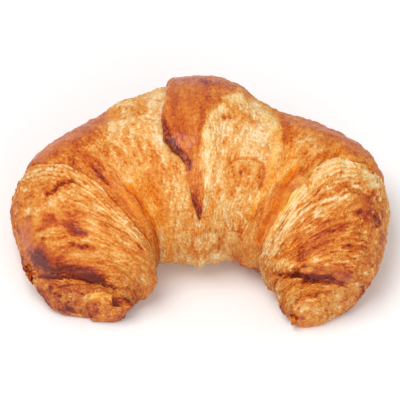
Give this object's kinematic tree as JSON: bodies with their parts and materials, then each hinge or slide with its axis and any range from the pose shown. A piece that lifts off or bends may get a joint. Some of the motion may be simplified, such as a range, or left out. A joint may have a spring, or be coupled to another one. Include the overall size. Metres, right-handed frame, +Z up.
{
  "type": "croissant",
  "caption": "Curved butter croissant: rolled laminated dough with stepped layers, a pointed tongue over the middle and horns bent forward.",
  "frame": {"origin": "middle of the bounding box, on the plane of the flat base", "axes": "+X from the left horn to the right one, +Y out of the curved back, so the horns point to -Y, +Z up from the base"},
  "size_m": [0.1506, 0.0978, 0.0602],
  "materials": {
    "crust": "baked laminated dough: golden to red-brown crust with an egg-wash gloss, paler and flaky where the layers open"
  },
  "bodies": {
    "root": {"croissant": "crust"}
  },
  "joints": []
}
